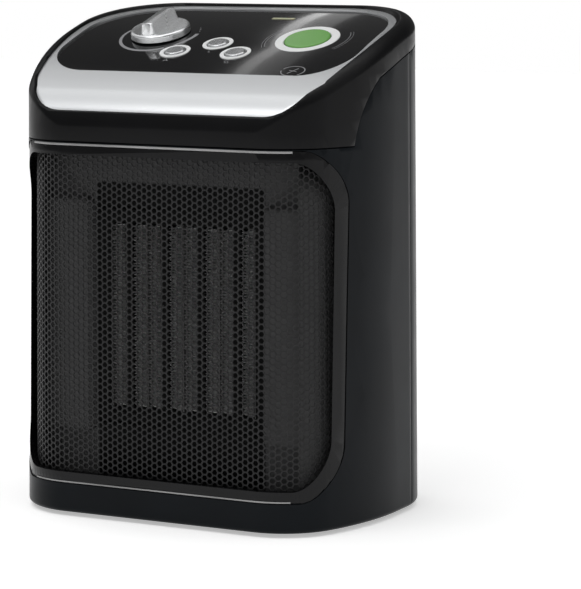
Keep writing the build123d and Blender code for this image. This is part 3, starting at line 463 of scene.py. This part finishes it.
def bar(bm, centre, length, width, angle=0.0, cuts=6):
    made = bmesh.ops.create_grid(bm, x_segments=cuts, y_segments=1, size=0.5)["verts"]
    place = (
        Matrix.Translation((centre[0], centre[1], 0))
        @ Matrix.Rotation(angle, 4, "Z")
        @ Matrix.Diagonal((length, width, 1, 1))
    )
    bmesh.ops.transform(bm, matrix=place, verts=made)
    return made


def printed(bm, tree, name):
    """Lays a flat drawing on the panel as one ink mark."""
    drape(bm, tree, bpy.context.scene.heater_marks.lift)
    return finish_object(name, close_bmesh(bm, name, True), "root", "print_grey")


# ---------------------------------------------------------------- pieces


class HEATER_OT_casing(bpy.types.Operator):
    """Hood, front and rear housings, base, feet and gland"""

    bl_idname = "heater.casing"
    bl_label = "Casing"

    def execute(self, context):
        skin("top_cover", "root", "casing_black", 28.0)
        skin("front_housing", "root", "rear_black", 28.0)
        skin("rear_housing", "root", "rear_black", 28.0)
        skin("base_plate", "root", "base_black", 28.0)
        skin("rubber_feet", "root", "rubber", 28.0)
        skin("cord_gland", "root", "base_black", 30.0)
        skin("carry_grip", "root", "base_black", 30.0)
        skin("inlet_grille", "root", "casing_black", 30.0)
        skin("housing_screws", "root", "screw_dark", 30.0)
        skin("base_screws", "root", "screw_dark", 30.0)
        return {"FINISHED"}


def bead(name, points, radius, body, material):
    """Thin round bead along a smooth line through points."""
    curve = bpy.data.curves.new(name + "_line", "CURVE")
    curve.dimensions = "3D"
    curve.bevel_depth = radius
    curve.bevel_resolution = 3
    curve.use_fill_caps = True
    spline = curve.splines.new("NURBS")
    spline.points.add(len(points) - 1)
    for point, spot in zip(spline.points, points):
        point.co = (*spot, 1)
    spline.order_u = 3
    spline.use_endpoint_u = True
    spline.resolution_u = 4
    line = bpy.data.objects.new(name + "_line", curve)
    mesh = bpy.data.meshes.new_from_object(line)
    bpy.data.objects.remove(line)
    bpy.data.curves.remove(curve)
    mesh.name = name
    return finish_object(name, mesh, body, material)


def front_line(tree, height, half, count=60):
    """Points on a node's front face at one height, from -half to half."""
    points = []
    for i in range(count + 1):
        x = -half + 2 * half * i / count
        hit = tree.ray_cast(Vector((x, -1, height)), Vector((0, 1, 0)))[0]
        if hit is not None:
            points.append(hit)
    return points


class HEATER_OT_bezel(bpy.types.Operator):
    """Bezel round the grille, with light grey beads along its top and bottom edges as painted highlight lines
    """

    bl_idname = "heater.bezel"
    bl_label = "Bezel"

    def execute(self, context):
        skin("front_bezel", "root", "bezel_black", 28.0)
        sizes = context.scene.heater_bezel
        tree = surface("front_bezel")
        for name, height, radius in (
            ("bezel_top_highlight_bead", sizes.top_height, sizes.top_radius),
            ("bezel_low_highlight_bead", sizes.low_height, sizes.low_radius),
        ):
            line = front_line(tree, height, sizes.half)
            # Each bead is light grey: a painted highlight line along the bezel's edge.
            bead(name, line, radius, "root", "bezel_edge")
        return {"FINISHED"}


def front_profile(tree, height):
    """Plan of the grille's front face at one height: points from its left end to its right end."""
    points = []
    steps = 360
    for i in range(steps + 1):
        turn = radians(-84 + 168 * i / steps)
        start = Vector((sin(turn), -cos(turn), 0)) * 0.3 + Vector((0, 0, height))
        hit = tree.ray_cast(start, Vector((-sin(turn), cos(turn), 0)))[0]
        if hit is not None and (not points or (hit - points[-1]).length > 1e-5):
            points.append(hit)
    return points


def everything(bm):
    return bm.verts[:] + bm.edges[:] + bm.faces[:]


def copy_by(bm, geom, step):
    made = bmesh.ops.duplicate(bm, geom=geom)["geom"]
    bmesh.ops.translate(bm, verts=[v for v in made if isinstance(v, bmesh.types.BMVert)], vec=step)


def on_sheet(profile, lengths, along, height, depth):
    """Point at a length along the plan profile, at a height from its level and a depth behind it."""
    k = min(max(bisect_left(lengths, along), 1), len(lengths) - 1)
    share = (along - lengths[k - 1]) / (lengths[k] - lengths[k - 1])
    way = (profile[k] - profile[k - 1]).normalized()
    inward = Vector((-way.y, way.x, 0))
    spot = profile[k - 1].lerp(profile[k], share)
    return spot + inward * (height * WALL_LEAN + depth) + Vector((0, 0, height))


def repeat(bm, count, step):
    """Copies everything in bm until there are count of it, each a step from the last."""
    first = everything(bm)
    made = 1
    while made * 2 <= count:
        copy_by(bm, everything(bm), Vector(step) * made)
        made *= 2
    for k in range(made, count):
        copy_by(bm, first, Vector(step) * k)


class HEATER_OT_grille(bpy.types.Operator):
    """Perforated sheet, bent round the front"""

    bl_idname = "heater.grille"
    bl_label = "Perforated grille"

    def execute(self, context):
        sizes = context.scene.heater_grille
        low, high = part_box("grille_mesh")
        middle = (low.z + high.z) / 2
        tree = surface("grille_mesh")
        profile = front_profile(tree, middle)
        lengths = [0.0]
        for a, b in zip(profile, profile[1:]):
            lengths.append(lengths[-1] + (b - a).length)
        total = lengths[-1]
        pitch = sizes.pitch
        column = pitch * cos(HEX_TURN)
        columns = int((total / 2 - sizes.edge) / column)
        rows = int((high.z - low.z) / 2 / pitch) + 1
        bm = bmesh.new()
        radius = pitch / 2 / cos(HEX_TURN)
        cell = bmesh.ops.create_circle(bm, cap_ends=True, segments=6, radius=radius)["verts"]
        bmesh.ops.rotate(bm, verts=cell, cent=(0, 0, 0), matrix=Matrix.Rotation(HEX_TURN, 3, "Z"))
        bmesh.ops.translate(bm, verts=cell, vec=(-columns * column, -rows * pitch, 0))
        repeat(bm, 2 * rows + 1, (0, pitch, 0))
        copy_by(bm, everything(bm), (column, pitch / 2, 0))
        repeat(bm, columns + 1, (2 * column, 0, 0))
        reach = (high.z - low.z) / 2 - sizes.edge
        side = (columns + 0.5) * column
        centres = {face: face.calc_center_median() for face in bm.faces}
        spare = [face for face, spot in centres.items() if abs(spot.y) > reach or abs(spot.x) > side]
        bmesh.ops.delete(bm, geom=spare, context="FACES")
        bmesh.ops.remove_doubles(bm, verts=bm.verts, dist=pitch * 0.05)
        bmesh.ops.inset_individual(bm, faces=bm.faces[:], thickness=sizes.web, use_even_offset=True)
        holes = [f for f in bm.faces if len(f.verts) == 6]
        bmesh.ops.delete(bm, geom=holes, context="FACES")
        for vertex in bm.verts:
            along = min(max(vertex.co.x + total / 2, 0.0), total)
            vertex.co = on_sheet(profile, lengths, along, vertex.co.y, 0.0)
        for side, name in ((-1, "left"), (1, "right")):
            baffle = bmesh.new()
            strip = bmesh.ops.create_grid(baffle, x_segments=24, y_segments=8, size=0.5)["verts"]
            for vertex in strip:
                along = total / 2 + side * (total / 2 - 0.001 - (vertex.co.x + 0.5) * sizes.baffle)
                height = vertex.co.y * (high.z - low.z - 0.004)
                vertex.co = on_sheet(profile, lengths, along, height, sizes.baffle_depth)
            bmesh.ops.solidify(baffle, geom=baffle.faces[:], thickness=sizes.thickness)
            piece = close_bmesh(baffle, "baffle_" + name, outward=True)
            # The strips take duct_black and lie in its side-pad region, so they carry its painted light.
            finish_object("baffle_" + name, piece, "root", "duct_black")
        mesh = close_bmesh(bm, "perforated_sheet", outward=True)
        obj = finish_object("perforated_sheet", mesh, "root", "grille_black")
        wall = obj.modifiers.new("Wall", "SOLIDIFY")
        wall.thickness = sizes.thickness
        wall.offset = -1
        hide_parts("grille_mesh")
        return {"FINISHED"}


class HEATER_OT_deck(bpy.types.Operator):
    """Silver trim, glossy panel and the rings set in it"""

    bl_idname = "heater.deck"
    bl_label = "Deck"

    def execute(self, context):
        skin("trim_band", "root", "satin_silver", 26.0, 0.0003)
        crown_shading(skin("control_panel", "root", "panel_gloss", 26.0))
        skin("button_rings", "root", "ring_white", 30.0, 0.00015)
        skin("eco_ring", "root", "ring_white", 30.0, 0.0002)
        skin("pilot_lamp", "root", "lamp_lens", 30.0, 0.0001)
        return {"FINISHED"}


class HEATER_OT_controls(bpy.types.Operator):
    """Knob, mode buttons and the large green button"""

    bl_idname = "heater.controls"
    bl_label = "Controls"

    def execute(self, context):
        skin("thermostat_knob", "knob", "knob_silver", 30.0)
        skin("thermostat_shaft", "knob", "steel", 30.0)
        for side in ("left", "rear", "right"):
            skin("mode_button_" + side, "button_" + side, "button_silver", 30.0)
        skin("eco_button", "eco", "eco_green", 30.0)
        return {"FINISHED"}


class HEATER_OT_marks(bpy.types.Operator):
    """Printed arc round the knob, button marks, faint arcs and the symbol on the panel"""

    bl_idname = "heater.marks"
    bl_label = "Panel marks"

    def execute(self, context):
        sizes = context.scene.heater_marks
        tree = surface("control_panel")
        low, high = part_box("thermostat_knob")
        knob = ((low.x + high.x) / 2, (low.y + high.y) / 2)
        bm = bmesh.new()
        arc_strip(bm, knob, sizes.dial_radius, 0.0022, radians(165), radians(200), 72, 0.35)
        for angle in (16, 23, 30):
            spot = sizes.dial_radius * Vector((cos(radians(angle)), sin(radians(angle))))
            dot(bm, (knob[0] + spot.x, knob[1] + spot.y), 0.0004)
        printed(bm, tree, "dial_arc")
        low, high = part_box("eco_ring")
        eco = ((low.x + high.x) / 2, (low.y + high.y) / 2)
        bm = bmesh.new()
        for radius, width in ((sizes.ring_radius, 0.0003), (sizes.ring_radius + 0.0015, 0.0002)):
            arc_strip(bm, eco, radius, width, radians(150), radians(60), 24)
            arc_strip(bm, eco, radius, width, radians(-30), radians(60), 24)
        symbol = (0.0588, -0.0318)
        half = sizes.symbol_width / 2
        mark = arc_strip(bm, symbol, half, 0.0006, radians(-50), radians(210), 40)
        mark += arc_strip(bm, symbol, half, 0.0006, radians(180), radians(110), 20)
        mark += bar(bm, symbol, half * 1.3, 0.0006, radians(60))
        mark += bar(bm, symbol, half * 0.8, 0.0005, radians(-20))
        bmesh.ops.scale(
            bm, verts=mark, vec=(1, 0.72, 1), space=Matrix.Translation((-symbol[0], -symbol[1], 0))
        )
        printed(bm, tree, "panel_symbols")
        bm = bmesh.new()
        for index, side in enumerate(("left", "rear", "right")):
            low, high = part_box("mode_button_" + side)
            spot = ((low.x + high.x) / 2, (low.y + high.y) / 2 - 0.0118)
            if index == 0:
                for turn in (90, 210, 330):
                    place = (spot[0] + 0.0009 * cos(radians(turn)), spot[1] + 0.0009 * sin(radians(turn)))
                    bar(bm, place, 0.0014, 0.0005, radians(turn + 25), 2)
            else:
                for k in range(index):
                    shift = (k - (index - 1) / 2) * 0.0016
                    x, y = spot[0] + shift, spot[1]
                    arc_strip(bm, (x, y + 0.0005), 0.0006, 0.0003, radians(90), radians(180), 8)
                    arc_strip(bm, (x, y - 0.0006), 0.0006, 0.0003, radians(90), radians(-180), 8)
        printed(bm, tree, "button_marks")
        return {"FINISHED"}


class HEATER_OT_fins(bpy.types.Operator):
    """Fine corrugated strips between the ceramic bars"""

    bl_idname = "heater.fins"
    bl_label = "Corrugated fins"

    def execute(self, context):
        sizes = context.scene.heater_fins
        low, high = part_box("heater_fins")
        bm = bmesh.new()
        bm.from_mesh(NODES["heater_fins"].data)
        bmesh.ops.remove_doubles(bm, verts=bm.verts, dist=WELD)
        columns = []
        left = set(bm.verts)
        while left:
            island = set()
            edge = [next(iter(left))]
            while edge:
                vertex = edge.pop()
                if vertex in island:
                    continue
                island.add(vertex)
                edge.extend(e.other_vert(vertex) for e in vertex.link_edges)
            left -= island
            columns.append((min(v.co.x for v in island), max(v.co.x for v in island)))
        bm.free()
        folds = sizes.folds
        bm = bmesh.new()
        for x0, x1 in sorted(columns):
            strip = bmesh.ops.create_grid(bm, x_segments=2 * folds, y_segments=1, size=0.5)["verts"]
            for vertex in strip:
                step = round((vertex.co.x + 0.5) * 2 * folds)
                depth = vertex.co.y + 0.5
                vertex.co = (
                    x0 + 0.0003 if step % 2 else x1 - 0.0003,
                    low.y + depth * (high.y - low.y),
                    low.z + 0.0003 + step / (2 * folds) * (high.z - low.z - 0.0006),
                )
        mesh = close_bmesh(bm, "corrugated_fins", outward=True)
        obj = finish_object("corrugated_fins", mesh, "root", "fin_alu")
        for polygon in mesh.polygons:
            polygon.use_smooth = False
        wall = obj.modifiers.new("Wall", "SOLIDIFY")
        wall.thickness = sizes.thickness
        wall.offset = 0
        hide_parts("heater_fins")
        return {"FINISHED"}


class HEATER_OT_core(bpy.types.Operator):
    """Heater core, air path, fan and motor"""

    bl_idname = "heater.core"
    bl_label = "Core and fan"

    def execute(self, context):
        for node, material in (
            ("air_duct", "duct_black"),
            ("heater_frame", "ceramic"),
            ("ptc_bars", "ceramic"),
            ("fin_dividers", "divider_grey"),
            ("heater_terminals", "brass"),
            ("thermal_cutout", "steel"),
            ("fan_shroud", "duct_black"),
            ("motor_stator", "lamination"),
            ("motor_coil", "copper"),
            ("motor_front_bracket", "steel"),
            ("motor_rear_bracket", "steel"),
            ("shaft_bearings", "brass"),
            ("terminal_block", "terminal_cream"),
            ("tip_switch_body", "terminal_cream"),
            ("thermostat_body", "terminal_cream"),
            ("control_board", "board_green"),
            ("tact_switches", "steel"),
            ("board_screws", "steel"),
        ):
            skin(node, "root", material)
        for node, material in (
            ("fan_impeller", "impeller_grey"),
            ("motor_shaft", "steel"),
            ("motor_rotor", "lamination"),
        ):
            skin(node, "fan", material)
        skin("tip_switch_pendulum", "tip_pendulum", "brass")
        return {"FINISHED"}


class HEATER_OT_studio(bpy.types.Operator):
    """Floor, lights, world and camera"""

    bl_idname = "heater.studio"
    bl_label = "Studio"

    def execute(self, context):
        sizes = context.scene.heater_studio
        bm = bmesh.new()
        bmesh.ops.create_grid(bm, x_segments=1, y_segments=1, size=sizes.floor)
        mesh = close_bmesh(bm, "floor")
        material, tree, shader = new_material("floor_paper")
        vector = coordinates(tree)
        paper = ramp(tree, noise(tree, vector, 3.0), (0.9, 0.9, 0.9), (0.93, 0.93, 0.93))
        tree.links.new(paper, shader.inputs["Base Color"])
        shader.inputs["Roughness"].default_value = 0.9
        shader.inputs["Specular IOR Level"].default_value = 0.05
        shader.inputs["Emission Color"].default_value = (1, 1, 1, 1)
        shader.inputs["Emission Strength"].default_value = 0.42
        mesh.materials.append(material)
        floor = bpy.data.objects.new("floor", mesh)
        context.scene.collection.objects.link(floor)

        world = bpy.data.worlds.new("studio")
        world.use_nodes = True
        sky = world.node_tree
        back = sky.nodes["Background"]
        way = sky.nodes.new("ShaderNodeTexCoord")
        parts = sky.nodes.new("ShaderNodeSeparateXYZ")
        sky.links.new(way.outputs["Generated"], parts.inputs["Vector"])
        half = sky.nodes.new("ShaderNodeMapRange")
        half.inputs["From Min"].default_value = -1.0
        half.inputs["From Max"].default_value = 1.0
        sky.links.new(parts.outputs["Y"], half.inputs["Value"])
        arch = sky.nodes.new("ShaderNodeValToRGB")
        arch.color_ramp.elements[0].position = 0.0
        arch.color_ramp.elements[0].color = (0.28, 0.28, 0.28, 1)
        arch.color_ramp.elements[1].position = 0.745
        arch.color_ramp.elements[1].color = (0.1, 0.1, 0.1, 1)
        for place, level in ((0.22, 0.42), (0.5, 1.1), (0.725, 1.75)):
            stop = arch.color_ramp.elements.new(place)
            stop.color = (level, level, level, 1)
        sky.links.new(half.outputs["Result"], arch.inputs["Fac"])
        aside = sky.nodes.new("ShaderNodeMath")
        aside.operation = "ABSOLUTE"
        sky.links.new(parts.outputs["X"], aside.inputs[0])
        sides = sky.nodes.new("ShaderNodeMapRange")
        sides.inputs["From Min"].default_value = 0.25
        sides.inputs["From Max"].default_value = 0.9
        sides.inputs["To Min"].default_value = 1.0
        sides.inputs["To Max"].default_value = 0.4
        sky.links.new(aside.outputs["Value"], sides.inputs["Value"])
        front = sky.nodes.new("ShaderNodeMath")
        front.operation = "MULTIPLY"
        sky.links.new(arch.outputs["Color"], front.inputs[0])
        sky.links.new(sides.outputs["Result"], front.inputs[1])
        below = sky.nodes.new("ShaderNodeMath")
        below.operation = "LESS_THAN"
        below.inputs[1].default_value = 0.0
        sky.links.new(parts.outputs["Z"], below.inputs[0])
        bright = sky.nodes.new("ShaderNodeMath")
        bright.operation = "MAXIMUM"
        sky.links.new(below.outputs["Value"], bright.inputs[0])
        sky.links.new(front.outputs["Value"], bright.inputs[1])
        sky.links.new(bright.outputs["Value"], back.inputs["Strength"])
        back.inputs["Color"].default_value = (1, 1, 1, 1)
        context.scene.world = world
        context.scene.view_settings.view_transform = "Standard"

        for name, place, aim, size, power, along in LIGHTS:
            data = bpy.data.lights.new(name, "AREA")
            data.shape = "RECTANGLE"
            data.size, data.size_y = size
            data.energy = power
            lamp = bpy.data.objects.new(name, data)
            context.scene.collection.objects.link(lamp)
            away = (Vector(place) - Vector(aim)).normalized()
            long_side = (Vector(along) - Vector(along).dot(away) * away).normalized()
            if size[0] > size[1]:
                columns = (long_side, away.cross(long_side), away)
            else:
                columns = (long_side.cross(away), long_side, away)
            turn = Matrix(columns).transposed().to_4x4()
            lamp.matrix_world = Matrix.Translation(place) @ turn

        sun = bpy.data.objects.new("overhead", bpy.data.lights.new("overhead", "SUN"))
        sun.data.energy = 0.35
        sun.data.angle = radians(60)
        sun.rotation_euler = Vector((0.22, 0.12, -1)).to_track_quat("-Z", "Y").to_euler()
        context.scene.collection.objects.link(sun)

        camera = bpy.data.objects.new("camera", bpy.data.cameras.new("camera"))
        context.scene.collection.objects.link(camera)
        camera.data.sensor_width = 36
        camera.data.lens = sizes.lens
        camera.location = (0.66796, -1.24133, 0.30279)
        camera.rotation_euler = (radians(90 - 7.774), 0, radians(26.78))
        context.scene.camera = camera
        return {"FINISHED"}


FRONT_STREAK = (0.025, 0.272, -0.171)
REAR_STREAK = (0.015, 0.317, -0.347)
# name, place, point it faces, width and length, watts, direction of its long side
LIGHTS = (
    ("streak_front", (-0.703, 0.876, 1.317), (0.035, -0.02, 0.235), (0.016, 0.36), 0.024, FRONT_STREAK),
    ("streak_front_fade", (-0.685, 0.876, 1.317), (0.035, -0.02, 0.235), (0.052, 0.36), 0.024, FRONT_STREAK),
    ("streak_rear", (-0.680, 1.214, 1.018), (0.04, 0.02, 0.247), (0.016, 0.56), 0.036, REAR_STREAK),
    ("streak_rear_fade", (-0.662, 1.214, 1.018), (0.04, 0.02, 0.247), (0.052, 0.56), 0.036, REAR_STREAK),
    ("seam", (-0.3, -0.9, 1.5), (0, 0, 0.2), (1.2, 0.14), 5.0, (1, 0, 0)),
)


class HEATER_PT_panel(bpy.types.Panel):
    """Sizes, colours and steps of the heater"""

    bl_idname = "HEATER_PT_panel"
    bl_label = "Heater"
    bl_space_type = "VIEW_3D"
    bl_region_type = "UI"
    bl_category = "Heater"

    def draw(self, context):
        layout = self.layout
        scene = context.scene
        for attribute, _ in GROUPS:
            group = getattr(scene, attribute)
            box = layout.box()
            for name in group.bl_rna.properties.keys():
                if name not in ("rna_type", "name"):
                    box.prop(group, name)
        for step in STEPS:
            layout.operator(step.bl_idname)


STEPS = (
    HEATER_OT_casing,
    HEATER_OT_bezel,
    HEATER_OT_grille,
    HEATER_OT_deck,
    HEATER_OT_controls,
    HEATER_OT_marks,
    HEATER_OT_fins,
    HEATER_OT_core,
    HEATER_OT_studio,
)
GROUPS = (
    ("heater_colours", HeaterColours),
    ("heater_bezel", BezelSizes),
    ("heater_grille", GrilleSizes),
    ("heater_fins", FinSizes),
    ("heater_marks", MarkSizes),
    ("heater_studio", StudioSizes),
)


def register():
    for _, group in GROUPS:
        bpy.utils.register_class(group)
    for cls in (*STEPS, HEATER_PT_panel):
        bpy.utils.register_class(cls)
    for name, group in GROUPS:
        setattr(bpy.types.Scene, name, PointerProperty(type=group))


def unregister():
    for name, _ in GROUPS:
        delattr(bpy.types.Scene, name)
    for cls in reversed((*STEPS, HEATER_PT_panel)):
        bpy.utils.unregister_class(cls)
    for _, group in reversed(GROUPS):
        bpy.utils.unregister_class(group)


def main():
    register()
    make_finishes(bpy.context.scene.heater_colours)
    bpy.ops.heater.casing()
    bpy.ops.heater.bezel()
    bpy.ops.heater.grille()
    bpy.ops.heater.deck()
    bpy.ops.heater.controls()
    bpy.ops.heater.marks()
    bpy.ops.heater.fins()
    bpy.ops.heater.core()
    bpy.ops.heater.studio()


if __name__ == "__main__":
    main()
